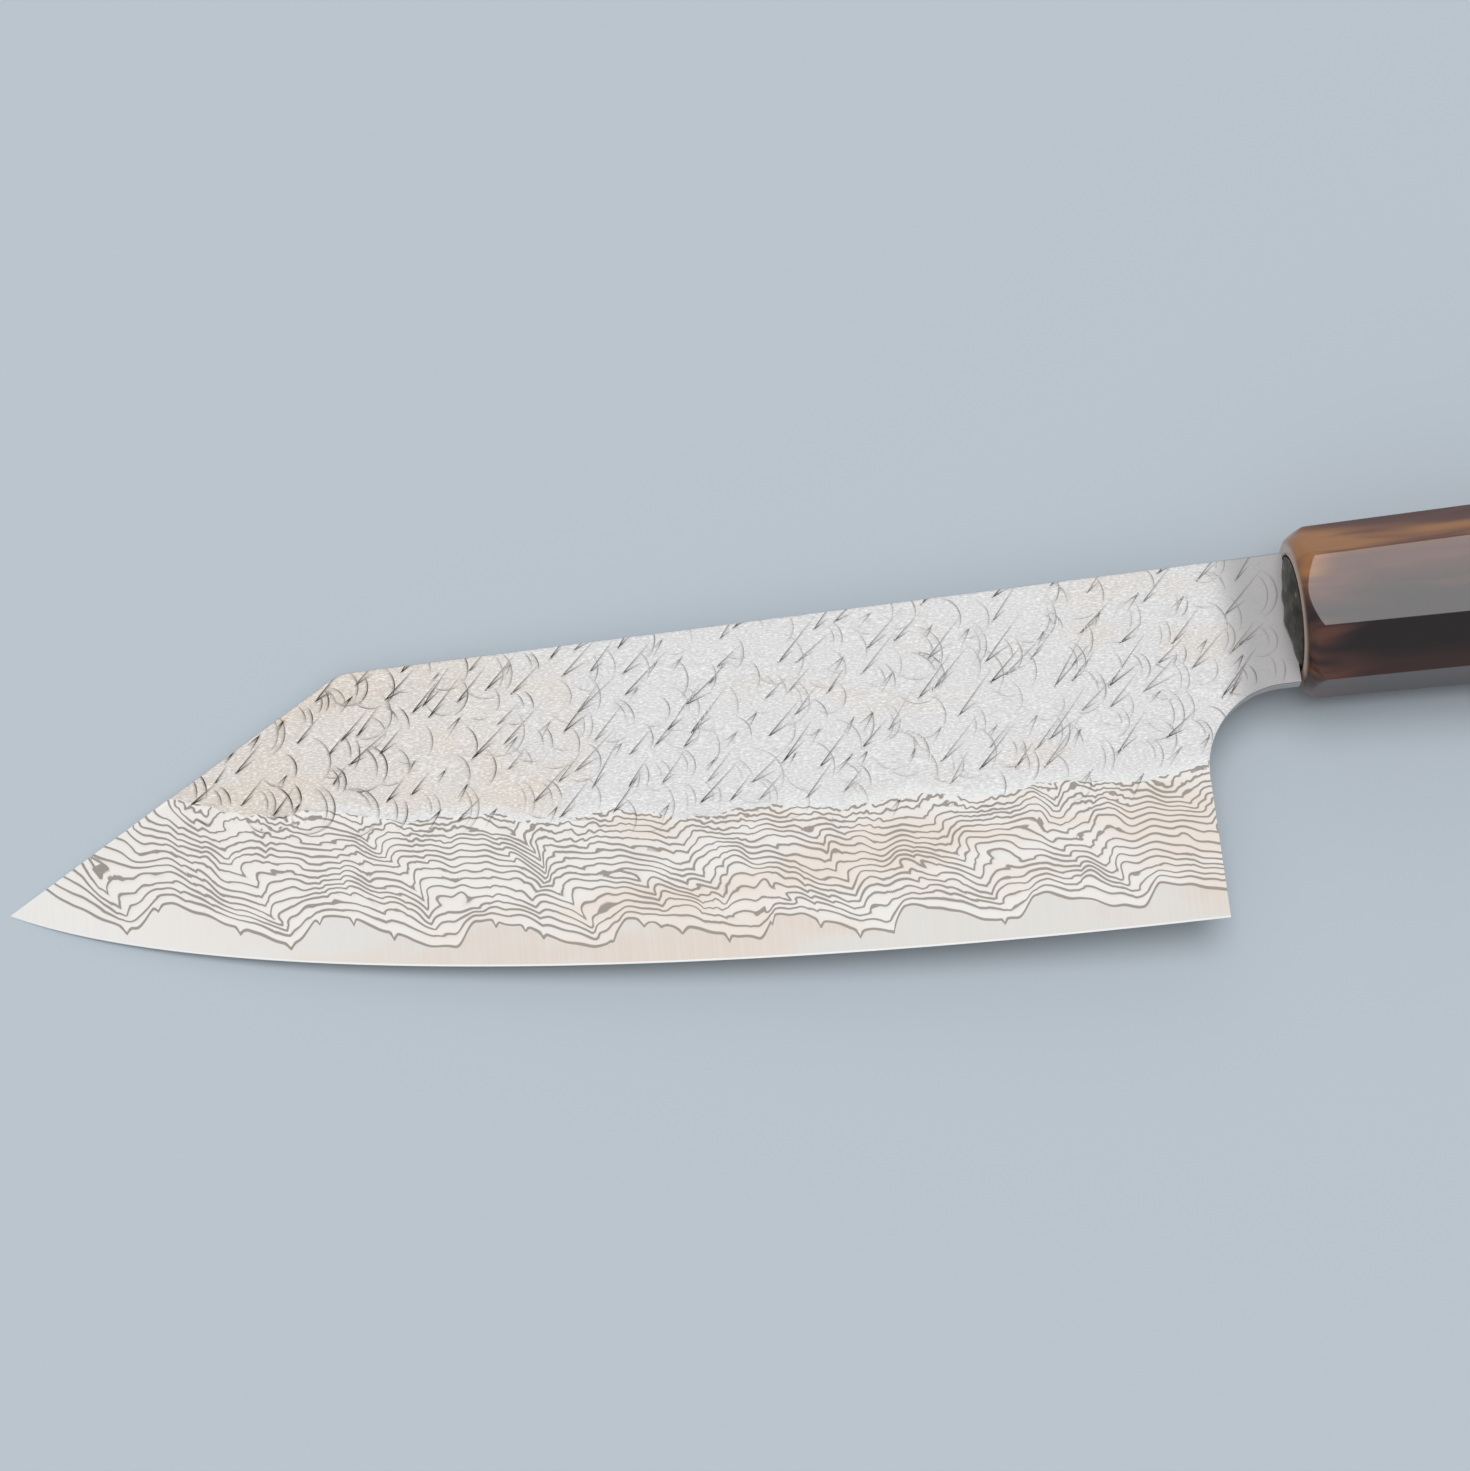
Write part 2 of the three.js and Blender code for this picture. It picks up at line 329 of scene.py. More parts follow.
def edge_y(x):
    return np.interp(x, EDGE_CURVE[:, 0], EDGE_CURVE[:, 1])


def bottom_y(x):
    """Lower outline behind the heel: the choil's arc and the bottom of the neck."""
    reach = np.clip(HEEL_X + CHOIL_RADIUS - x, 0, CHOIL_RADIUS)
    return NECK_BOTTOM - CHOIL_RADIUS + np.sqrt(CHOIL_RADIUS ** 2 - reach ** 2)


def spine_half(x):
    places = [TIP_X, HEEL_X, 0, TANG_END_X]
    sizes = [TIP_THICKNESS / 2, HEEL_THICKNESS / 2, NECK_THICKNESS / 2, TANG_END_THICKNESS / 2]
    return np.interp(x, places, sizes)


def flat_z(x, y):
    return spine_half(x) - WEDGE * (spine_y(x) - y)


def face_z(x, y):
    """The left face: flat above the bevel, then a convex bevel and a micro-bevel along the edge."""
    edge = edge_y(x)
    share = np.clip((y - edge) / GRIND_HEIGHT, 0, 1)
    grind = flat_z(x, edge + GRIND_HEIGHT)
    bevel = grind * share * (1 + BEVEL_BULGE * (1 - share)) + EDGE_LAND * (1 - share) ** 2
    bevel = np.minimum(bevel, MICRO_BEVEL * np.maximum(y - edge, 0))
    return np.where(y > edge + GRIND_HEIGHT, flat_z(x, y), bevel)


# Layer lines

def wave_phase(x):
    return np.interp(x, FRONTS, np.arange(len(FRONTS)))


def wave_size(phase):
    return 0.9 + 0.25 * broad_noise(np.floor(phase) * 3.7 + 0.5, 2.5)


def hump(phase):
    """A forged wave: it climbs steeply towards the heel and falls slowly."""
    share = phase - np.floor(phase)
    return wave_size(phase) * smooth(share / 0.16) * (1 - smooth((share - 0.2) / 0.76))


def core_swell(x):
    """Height of the core's line above the edge, without its spikes."""
    return CORE_BAND + WAVE * hump(wave_phase(x)) + CORE_RAGGED * middle_noise(x / (3.1 * MM), 3.3)


def core_spikes(x):
    """Narrow spikes of the core's line that point to the edge."""
    place = np.abs(fine_noise(x / (6.1 * MM), 4.4))
    choice = smooth(0.5 + 3 * middle_noise(x / (9.1 * MM), 9.5))
    return -CORE_SPIKE * np.maximum(0, 1 - place / 0.2) ** 2 * choice


def core_y(x):
    return np.minimum(edge_y(x) + np.maximum(core_swell(x) + core_spikes(x), CORE_LEAST), top_y(x))


def pattern_y(x):
    """Border between the patterned and the hammered layer."""
    wave = PATTERN_WAVE * np.sin(2 * math.pi * x / PATTERN_WAVE_LENGTH)
    ragged = PATTERN_RAGGED * middle_noise(x / (2.2 * MM), 8.8)
    return np.minimum(edge_y(x) + PATTERN_BAND + wave + ragged, top_y(x))


def clip_distance(x, y):
    """Distance below the slanted clip."""
    rise = CLIP_Y - TIP_Y
    return ((x - TIP_X) * rise - (y - TIP_Y) * CLIP_RUN) / math.hypot(CLIP_RUN, rise)


def scallop(share):
    """Section of a ripple: sharp at its foot, steep and then round towards the heel, and a slow fall."""
    rise = 1 - np.clip(1 - share / 0.3, 0, 1) ** 2
    fall = 1 - np.clip((share - 0.3) / 0.7, 0, 1) ** 1.6
    return rise * fall


def ripples(x, height, along, above):
    """Forged ripples of several lengths, each fading in and out over a height of its own."""
    total = 0
    for kind, (length, tall, size) in enumerate(RIPPLES):
        place = along / length + 0.8 * warp_noise(x / (1.6 * length) + 60 + 9 * kind, height / tall)
        number = np.floor(place)
        strength = 0.55 + 1.1 * middle_noise(number * 2.3 + 0.5 + 7 * kind, above / tall)
        total = total + size * (np.clip(strength, 0, 1.4) * scallop(place - number) - 0.3)
    return total


def above_core(x, height):
    """Height above the core's line, whose spikes die out within the first layer."""
    above = height - core_swell(x)
    return above - core_spikes(x) * np.exp(-np.maximum(above, 0) / (0.4 * MM))


def forged_lift(x, height, above):
    """How far forging has lifted the layers, in leaning waves, ripples and a torn upper border."""
    grow = smooth(above / (2.2 * MM))
    shift = 1.6 * warp_noise(x / (9 * MM), height / (5.5 * MM))
    shift = shift + 0.5 * warp_noise(x / (4 * MM) + 17, height / (2.6 * MM))
    u = x + shift * MM * grow
    v = above + 0.8 * MM * warp_noise(x / (7 * MM) + 40, height / (3.6 * MM)) * grow
    calm = np.exp(-np.maximum(above, 0) / (9 * MM))
    phase = wave_phase(u + WAVE_LEAN * v)
    crest = wave_size(phase) * scallop(phase - np.floor(phase))
    wave = WAVE * ((0.45 + 0.55 * calm) * crest - hump(wave_phase(x)))
    rough = 1.1 * MM * broad_noise(u / (12 * MM), v / (8 * MM)) + ripples(x, height, u + 0.7 * v, v)
    torn = 0.4 * MM * smooth((above - 12.5 * MM) / (3.5 * MM))
    rough = rough + torn * fine_noise(x / (0.8 * MM) + 9, height / (0.8 * MM))
    return (wave + rough) * grow


def kept_to_core(lift, above):
    """The lift, held back next to the core so that the first lines follow it."""
    room = np.maximum(above, 0) - 0.8 * MM * smooth(above / FIRST_LAYER)
    room = room - 0.6 * np.maximum(above - FIRST_LAYER, 0)
    softness = 0.35 * MM
    return -softness * np.logaddexp(-lift / softness, -room / softness)


def layer_count(x, y):
    """How many layers lie below a point of the face. Its whole numbers are the etched lines."""
    height = y - edge_y(x)
    above = above_core(x, height)
    near_clip = 3.5 * MM * np.exp(-np.maximum(clip_distance(x, y), 0) / (3.5 * MM))
    lift = forged_lift(x, height, above) + near_clip * smooth(above / (4 * MM))
    return (above - kept_to_core(lift, above)) / LAYER_PITCH - FIRST_LINE_SHARE


def layer_line_width(x, y):
    """Half the width of the etched line, in layers, so that its width on the steel stays even.

    The line next to the core is bolder, and where lines run wide apart some swell into dark pockets.
    """
    step = 0.05 * MM
    across = (layer_count(x + step, y) - layer_count(x - step, y)) / (2 * step)
    up = (layer_count(x, y + step) - layer_count(x, y - step)) / (2 * step)
    crowding = np.hypot(across, up)
    count = layer_count(x, y)
    bold = 1 + 0.5 * broad_noise(x / (5 * MM) + 31, y / (3 * MM)) + 0.35 * smooth(1.2 - count)
    pocket = smooth((middle_noise(x / (4 * MM) + 11, y / (2.4 * MM)) - 0.35) / 0.15)
    pocket = pocket * smooth(2 * (1 - crowding * LAYER_PITCH)) * smooth(count - 1)
    return np.clip(LINE_HALF_WIDTH * bold * crowding, 0.09, 0.3) + 0.25 * pocket


# Hammer marks

def scattered(random, spacing):
    """Points on a loose triangular net over the hammered part of the face."""
    points = []
    rise = spacing * NET_ROW_SHARE
    for row in range(int(NET_HEIGHT / rise)):
        for column in range(int(NET_LENGTH / spacing)):
            x = TIP_X + (column + 0.5 * (row % 2)) * spacing
            y = HEEL_EDGE_Y + 10 * MM + row * rise
            x, y = (x, y) + random.uniform(-0.4, 0.4, 2) * spacing
            if x < -PLAIN_NECK and edge_y(x) + PATTERN_BAND - 0.5 * MM < y < top_y(x):
                points.append((x, y))
    return points


def near_tip(x, tip, heel):
    """A value for the tip that passes into the one for the heel over the front half of the blade."""
    return np.interp(x, [TIP_X, TIP_X + 0.5 * BLADE_REACH, HEEL_X], [tip, heel, heel])


def gouge_strokes(seed):
    """Straight strokes as (x, y, angle, length, width, strength, side), two from each gouge's dark tip."""
    random = np.random.default_rng(seed)
    strokes = []
    for x, y in scattered(random, GOUGE_SPACING):
        angle = math.radians(random.normal(STROKE_DEGREES, 5))
        spread = math.radians(random.uniform(9, 21))
        strength = random.uniform(0.7, 1.1) * near_tip(x, 1.9, 1.05)
        width = STROKE_WIDTH * near_tip(x, 1.5, 1.0)
        if random.random() < 0.7:
            length = random.uniform(4.5, 10.5) * MM * near_tip(x, 0.5, 0.95)
            short = length * random.uniform(0.3, 0.6)
            strokes.append((x, y, angle, length, width, strength * 0.9, 1))
            strokes.append((x, y, angle - spread, short, width * 1.15, strength, -1))
        else:
            length = random.uniform(2.2, 3.8) * MM
            back = angle + math.pi
            strokes.append((x, y, back + spread * 0.6, length, width, strength * 0.8, 1))
            strokes.append((x, y, back - spread * 0.6, length * 0.8, width, strength * 0.8, -1))
    return strokes


def dent_arcs(seed):
    """Rims of shallow dents as (x, y, radius, middle angle, span, width, strength)."""
    random = np.random.default_rng(seed + 100)
    arcs = []
    for x, y in scattered(random, DENT_SPACING):
        radius = DENT_RADIUS * random.uniform(0.75, 1.3)
        middle = math.radians(random.normal(8, 14))
        span = math.radians(random.uniform(70, 135))
        strength = random.uniform(0.4, 0.8) * near_tip(x, 2.1, 0.9)
        width = RIM_WIDTH * near_tip(x, 1.8, 1.0)
        for line in range(random.integers(1, 3)):
            shift = line * random.uniform(0.9, 1.4) * MM
            turn = middle + line * random.uniform(-0.2, 0.4)
            arcs.append((x - shift, y, radius, turn, span * 0.8 ** line, width, strength * 0.8 ** line))
        if random.random() < 0.6:
            low = math.radians(random.normal(262, 16))
            arcs.append((x, y, radius * 0.95, low, span * 0.8, width * 0.8, strength * 0.7))
    return arcs


def near_line(distance):
    """Keeps a line's darkness to the points close to it."""
    return smooth((0.5 * MM - np.abs(distance)) / (0.3 * MM))


def cut_strokes(x, y, seed):
    """What the strokes do at points of the face.

    Gives the depth of the grooves, the distance from the nearest stroke in its own half widths and how
    dark that stroke is.
    """
    depth, place, residue_and_shade = np.zeros((3, *y.shape))
    closest = np.full(y.shape, MARK_REACH)
    for from_x, from_y, angle, length, width, strength, side in gouge_strokes(seed):
        along = (x - from_x) * math.cos(angle) + (y - from_y) * math.sin(angle)
        across = side * ((y - from_y) * math.cos(angle) - (x - from_x) * math.sin(angle))
        near = (along > -width) & (along < length) & (np.abs(across) < closest)
        along = along[near]
        across = across[near]
        share = np.clip(along / length, 0, 1)
        dark = np.minimum(strength * (1 - share) ** 0.7, 1) * smooth(1 + along / width)
        slim = (0.5 + 0.5 * smooth(share / 0.15)) * (1 - 0.45 * share)
        closest[near] = np.abs(across)
        place[near] = across / (width * slim)
        # The line's darkness: residue in the groove and painted shade
        residue_and_shade[near] = dark * near_line(across)
        depth[near] += GROOVE_DEPTH * dark * np.exp(-(across / GROOVE_WIDTH) ** 2)
    return depth, place, residue_and_shade


def strike_dents(x, y, seed):
    """The same for the dents: their depth, the distance from the nearest rim and how dark that rim is."""
    depth, place, residue_and_shade = np.zeros((3, *y.shape))
    closest = np.full(y.shape, MARK_REACH)
    for from_x, from_y, radius, middle, span, width, strength in dent_arcs(seed):
        away = np.hypot(x - from_x, y - from_y)
        turn = np.arctan2(y - from_y, x - from_x) - middle
        turn = np.abs((turn + math.pi) % (2 * math.pi) - math.pi)
        facing = np.cos(np.clip(turn / span, 0, 0.5) * math.pi)
        depth += DENT_DEPTH * strength * np.maximum(0, 1 - (away / radius) ** 2) * (0.3 + 0.7 * facing)
        across = away - radius
        near = (np.abs(across) < closest) & (turn < span / 2)
        across = across[near]
        closest[near] = np.abs(across)
        place[near] = across / width
        # The rim's darkness: residue along the rim and painted shade
        residue_and_shade[near] = np.minimum(strength * facing[near], 1) * near_line(across)
    return depth, place, residue_and_shade


def hammering(x, rows, seed):
    """How far the hammer marks lift or sink the points of a face, and the lines they leave there."""
    uneven = UNEVENNESS * broad_noise(x / (6 * MM) + seed, rows / (6 * MM))
    grooves, stroke, stroke_residue_and_shade = cut_strokes(x, rows, seed)
    dents, arc, arc_residue_and_shade = strike_dents(x, rows, seed)
    lines = {"stroke": stroke, "stroke_residue_and_shade": stroke_residue_and_shade, "arc": arc, "arc_residue_and_shade": arc_residue_and_shade}
    return uneven - grooves - dents, lines


# Pieces of the blade

def columns_of(start, end, step):
    return np.linspace(start, end, int(round((end - start) / step)) + 1)


def choil_columns(step):
    """Places along the neck, evenly spaced on the choil's arc."""
    angles = np.linspace(0, math.pi / 2, int(CHOIL_RADIUS * math.pi / 2 / step) + 1)
    arc = HEEL_X + CHOIL_RADIUS * (1 - np.cos(angles))
    return np.concatenate([arc, columns_of(arc[-1], -SHOULDER_GAP, step)[1:]])


def tang_height(x):
    return np.interp(x, [-SHOULDER_GAP, TANG_END_X], [TANG_FRONT_HEIGHT, TANG_END_HEIGHT])


def inner_z(x):
    """Half the thickness of the core."""
    return face_z(x, core_y(np.minimum(x, HEEL_X - 2 * MM)))


def skin_z(x):
    """Where the hammered layer meets the patterned one."""
    place = np.minimum(x, HEEL_X)
    return np.where(x < HEEL_X, face_z(x, pattern_y(place)), flat_z(x, pattern_y(place)))


def stack(*columns):
    """Points from rows of x, y and z that share their columns."""
    return np.stack(np.broadcast_arrays(*columns), axis=-1)


def neck_block(low_z, high_z, with_neck=True):
    """One layer behind the heel, as a block through the neck and the tang."""
    neck = choil_columns(NECK_STEP) if with_neck else np.array([])
    tang = np.array([-SHOULDER_GAP, TANG_END_X])
    x = np.concatenate([neck, tang])
    low = np.concatenate([bottom_y(neck), -tang_height(tang) / 2])
    high = np.concatenate([spine_y(neck), tang_height(tang) / 2])
    inside = low_z(x)
    outside = high_z(x)
    lower = [stack(x, low, inside), stack(x, low, outside)]
    upper = [stack(x, high, outside), stack(x, high, inside)]
    return loft(np.stack(lower + upper, axis=1))


def face_values(values, shape, spare):
    """Values for the points of a layer's loops: those of its face, and 0 for the spare hidden points."""
    blank = np.zeros((shape[0], spare))
    return {name: np.concatenate([np.broadcast_to(value, shape), blank], axis=1).ravel()
            for name, value in values.items()}


BLADE_COLUMNS = columns_of(TIP_X, HEEL_X, BLADE_STEP)


def core_parts():
    x = BLADE_COLUMNS[:, None]
    edge = edge_y(x)
    height = np.maximum(core_y(x) - edge, 0)
    near_edge = np.minimum(np.array([0, 0.12, 0.22, 0.28, 0.6]) * MM, height * 0.5)
    start = near_edge[:, -1:]
    rest = start + (height - start) * np.linspace(0, 1, 16)[1:]
    rows = edge + np.concatenate([near_edge, rest], axis=1)
    left = stack(x, rows, face_z(x, rows))
    spine = stack(x, np.maximum(top_y(x), rows[:, -1:]), face_z(x, rows[:, -1:]))
    half = np.concatenate([left, spine], axis=1)
    loop = np.concatenate([half, (half * [1, 1, -1])[:, ::-1]], axis=1)
    # The first three rows of each side lie on the micro-bevel
    honed = np.zeros(loop.shape[:2])
    honed[:, [0, 1, 2, -1, -2, -3]] = 1
    block = neck_block(lambda x: -inner_z(x), inner_z)
    return [loft(loop, {"honed": honed.ravel()}), block]


def damascus_parts(rise, seed):
    x = BLADE_COLUMNS[pattern_y(BLADE_COLUMNS) - core_y(BLADE_COLUMNS) > PATTERN_LEAST][:, None]
    low = core_y(x)
    high = pattern_y(x)
    rows = low + (high - low) * np.linspace(0, 1, int(PATTERN_HEIGHT / rise))
    count = layer_count(x, rows)
    width = np.where(count > -FIRST_LINE_SHARE, layer_line_width(x, rows), 0)
    dents, marks = hammering(x, rows, seed)
    inside = smooth((high - rows) / MARK_RUN_OUT) * smooth((rows - low) / MARK_RUN_OUT)
    face = stack(x, rows, face_z(x, rows) + dents * inside)
    spine = np.maximum(top_y(x), high)
    under = np.maximum(face_z(x, high) - SKIN_SINK - WELD_LINE, face_z(x, low))
    hidden = [stack(x, high, under), stack(x, spine, under), stack(x, spine, face_z(x, low))]
    loops = np.concatenate([face, *hidden], axis=1)
    values = face_values({"layer": count, "line_width": width, **marks}, rows.shape, len(hidden))
    return [loft(loops, values), neck_block(inner_z, skin_z)]


def skin_rows(low, high, rise):
    """Heights on the hammered face, close together at its rounded rims."""
    height = high - low
    ends = np.minimum(np.array([0, 0.07, 0.16]) * MM, height * 0.2)
    margin = ends[:, -1:]
    inside = np.linspace(0, 1, int(SKIN_HEIGHT / rise))[1:-1]
    middle = low + margin + (height - 2 * margin) * inside
    return np.concatenate([low + ends, middle, (high - ends)[:, ::-1]], axis=1)


def round_off(distance):
    """How far a rounded rim falls away, at a distance from the outline."""
    short = np.clip(OUTLINE_ROUND - distance, 0, OUTLINE_ROUND)
    return OUTLINE_ROUND - np.sqrt(OUTLINE_ROUND ** 2 - short ** 2)


def pale_border(x, above):
    """How pale the hammered layer is along its lower border."""
    bright = np.clip(0.6 + broad_noise(x / (16 * MM), 1.5), 0.15, 1)
    bright = bright * np.interp(x, [TIP_X + 18 * MM, TIP_X + 50 * MM], [0.3, 1])
    return smooth(1 - above / (2.2 * MM)) * bright


def skin_parts(step, rise, seed):
    start = BLADE_COLUMNS[top_y(BLADE_COLUMNS) - pattern_y(BLADE_COLUMNS) > SKIN_LEAST][0]
    x = np.concatenate([columns_of(start, HEEL_X, step)[:-1], choil_columns(step)])[:, None]
    on_blade = x < HEEL_X
    low = np.where(on_blade, pattern_y(x), np.maximum(bottom_y(x), pattern_y(np.minimum(x, HEEL_X))))
    high = top_y(x)
    rows = skin_rows(low, high, rise)
    dents, marks = hammering(x, rows, seed)
    on_face = smooth((high - rows) / OUTLINE_ROUND)
    for name in ("stroke_residue_and_shade", "arc_residue_and_shade"):
        marks[name] = marks[name] * on_face
    inside = np.where(on_blade, smooth((rows - low) / MARK_RUN_OUT), 1)
    behind_heel = smooth((x - HEEL_X) / (0.5 * MM) + 1)
    rounding = round_off(high - rows) + round_off(rows - low) * behind_heel
    face = stack(x, rows, face_z(x, rows) + dents * inside - rounding)
    base = skin_z(x) - SKIN_SINK * on_blade
    hidden = [stack(x, high, base), stack(x, low, base)]
    loops = np.concatenate([face, *hidden], axis=1)
    plain = smooth((x + DARK_NECK) / (0.5 * DARK_NECK))
    pale = pale_border(x, rows - low) * on_blade
    values = face_values({"plain": plain, "pale": pale, **marks}, rows.shape, len(hidden))
    block = neck_block(lambda x: skin_z(x) + WELD_LINE, spine_half, with_neck=False)
    return [loft(loops, values, split=True), block]


# Pieces of the handle

def handle_half(x):
    width = np.interp(x, [0, HANDLE_LENGTH], [FRONT_WIDTH, BUTT_WIDTH]) / 2
    thickness = np.interp(x, [0, HANDLE_LENGTH], [FRONT_THICKNESS, BUTT_THICKNESS]) / 2
    return width, thickness


def side_shares():
    """Places along one side of the octagon, close together at its corners."""
    half = np.array([0, 0.004, 0.009, 0.016, 0.027, 0.045, 0.075, 0.12, 0.2, 0.3, 0.4])
    return np.concatenate([half, [0.5], 1 - half[:0:-1]])


def handle_turns(x):
    """Angles round the handle for each place along it, gathered at the octagon's corners."""
    width, thickness = handle_half(x)
    low = np.arctan2(thickness - BEVEL_LEG, width)
    high = np.arctan2(thickness, width - BEVEL_LEG)
    corners = [-low, low, high, math.pi - high, math.pi - low, math.pi + low, math.pi + high]
    corners += [2 * math.pi - high, 2 * math.pi - low]
    shares = side_shares()
    rows = [first + (last - first) * share for first, last in zip(corners, corners[1:]) for share in shares]
    return np.stack(rows)


def handle_radius(turn, x, cone):
    """Radius of the octagon with softened corners, inside a cone."""
    width, thickness = handle_half(x)
    bevel = (width + thickness - BEVEL_LEG) / math.sqrt(2)
    total = 0
    for side in range(8):
        distance = (width, bevel, thickness, bevel)[side % 4]
        facing = np.maximum(np.cos(turn - side * math.pi / 4), 0)
        total = total + (facing * NOSE_RADIUS / distance) ** EDGE_SHARPNESS
    octagon = total ** (-1 / EDGE_SHARPNESS)
    blended = octagon ** -CONE_SHARPNESS + (NOSE_RADIUS / cone) ** CONE_SHARPNESS
    return NOSE_RADIUS * blended ** (-1 / CONE_SHARPNESS)


def round_points(turn, x, radius):
    return stack(x, radius * np.cos(turn), radius * np.sin(turn))


def block_radius(turn, height, thickness):
    upright = height / 2 / np.maximum(np.abs(np.cos(turn)), 1e-6)
    sideways = thickness / 2 / np.maximum(np.abs(np.sin(turn)), 1e-6)
    return np.minimum(upright, sideways)


def tang_room(turn, x, room):
    return block_radius(turn, tang_height(x) + 2 * room, 2 * spine_half(np.maximum(x, 0)) + 2 * room)


def ferrule_parts():
    nose = np.array([0.55, 0.7, 0.9, 1.1, 1.3, 1.5, 1.7, 1.9, 2.1, 2.3, 2.5, 2.8, 3.2, 3.8, 4.6]) * MM
    x = np.concatenate([nose, np.linspace(5.5 * MM, FERRULE_LENGTH - 0.3 * MM, 26)])
    turn = handle_turns(x)
    radius = handle_radius(turn, x, NOSE_RADIUS + NOSE_SLOPE * x)
    outer = round_points(turn, np.broadcast_to(x, turn.shape), radius)
    front_turn = turn[:, :1]
    face_x = np.array([0.25, 0.05, 0, 0.02, 0.08, 0.18, 0.32]) * MM
    face_radius = np.array([8.2, 8.3, 8.6, 9.1, 9.6, 10.05, 10.35]) * MM
    front = round_points(front_turn, face_x[None], np.minimum(face_radius[None], radius[:, :1]))
    back_turn = turn[:, -1:]
    back_x = np.array([FERRULE_LENGTH, FERRULE_LENGTH, MOUTH_DEPTH])
    back_radius = np.stack([radius[:, -1] - JOINT_CHAMFER, *np.full((2, len(turn)), BORE_RADIUS)], axis=1)
    back = round_points(back_turn, back_x[None], back_radius)
    profiles = np.concatenate([front, outer, back], axis=1)
    # Painted highlight in a band round the front face of the ferrule
    rim = np.zeros(profiles.shape[:2])
    rim[:, :front.shape[1]] = [0, 0.3, 1, 1, 0.8, 0.2, 0]
    return [turned(profiles, closed=True, values={"rim": rim.ravel()})]


def body_parts():
    start = FERRULE_LENGTH + GLUE_LINE
    middle = np.linspace(start + 1 * MM, HANDLE_LENGTH - 4 * MM, 40)
    to_butt = np.array([3, 2.6, 2.2, 1.8, 1.5, 1.2, 0.95, 0.75, 0.58, 0.43, 0.3, 0.2, 0.12, 0.05, 0]) * MM
    x = np.concatenate([[start, start + 0.15 * MM], middle, HANDLE_LENGTH - to_butt])
    turn = handle_turns(x)
    cone = BUTT_WIDTH / 2 - BUTT_CHAMFER + (HANDLE_LENGTH - x)
    radius = handle_radius(turn, x, cone)
    radius = radius - smooth(1 - (HANDLE_LENGTH - x) / BUTT_ROUND_LENGTH) * BUTT_ROUND
    radius[:, 0] -= JOINT_CHAMFER
    outer = round_points(turn, np.broadcast_to(x, turn.shape), radius)
    last = turn[:, -1:]
    shares = np.array([[0.97, 0.9, 0.7, 0.4, 0]])
    butt = round_points(last, np.full_like(shares, HANDLE_LENGTH), radius[:, -1:] * shares)
    first = turn[:, :1]
    slot_x = np.array([[SLOT_END_X, MOUTH_DEPTH]])
    slot = round_points(first, slot_x, tang_room(first, slot_x, SLOT_ROOM))
    axis = round_points(first, np.array([[SLOT_END_X]]), np.zeros((1, 1)))
    tenon_x = np.array([[MOUTH_DEPTH, start]])
    tenon = round_points(first, tenon_x, np.full((1, 2), BORE_RADIUS - GLUE_LINE))
    return [turned(np.concatenate([axis, slot, tenon, outer, butt], axis=1))]


def resin_parts():
    turn = np.linspace(0, 2 * math.pi, 96, endpoint=False)[:, None]
    radius = BORE_RADIUS - GLUE_LINE
    mouth = MOUTH_DEPTH - GLUE_LINE
    tail = SLOT_END_X - GLUE_LINE
    pocket = np.array([[TANG_END_X + GLUE_LINE, 0]])
    sleeve = np.array([[mouth, tail]])
    rows = [
        round_points(turn, pocket[:, :1], np.zeros((1, 1))),
        round_points(turn, pocket, tang_room(turn, pocket, GLUE_LINE)),
        round_points(turn, np.array([[0, mouth]]), np.full((1, 2), radius)),
        round_points(turn, sleeve, tang_room(turn, sleeve, SLOT_ROOM - GLUE_LINE)),
        round_points(turn, np.array([[tail]]), np.zeros((1, 1))),
    ]
    filling = turned(np.concatenate(rows, axis=1))
    left = resin_fillet(radius)
    return [filling, left, mirrored(left)]


def resin_fillet(radius):
    """The resin that swells out of the ferrule's mouth on the left of the neck."""
    y = np.linspace(-0.97, 0.97, 61)[:, None] * radius
    share = np.linspace(0, 1, 21)[None]
    low = flat_z(0.0, y) - 0.05 * MM
    high = np.sqrt(radius ** 2 - y ** 2)
    z = low + np.maximum(high - low, 0.02 * MM) * share
    dome = np.maximum(1 - (y ** 2 + z ** 2) / radius ** 2, 0)
    swell = 0.8 + 0.25 * broad_noise(y / (3 * MM), 6.1)
    front = -MOUTH_RISE * swell * dome ** 0.8
    face = stack(front, y, z)
    back = stack(0.2 * MM, y, z[:, [-1, 0]])
    loops = np.concatenate([face, back], axis=1)
    # The resin thins out to a thin coat on the steel. Its edge rows are painted pale, partly for that coat
    # and partly as a painted highlight on the resin's curved edge
    film_and_highlight = np.zeros(loops.shape[:2])
    film_and_highlight[:, :2] = 1
    return loft(loops, {"film_and_highlight": film_and_highlight.ravel()})


# Materials

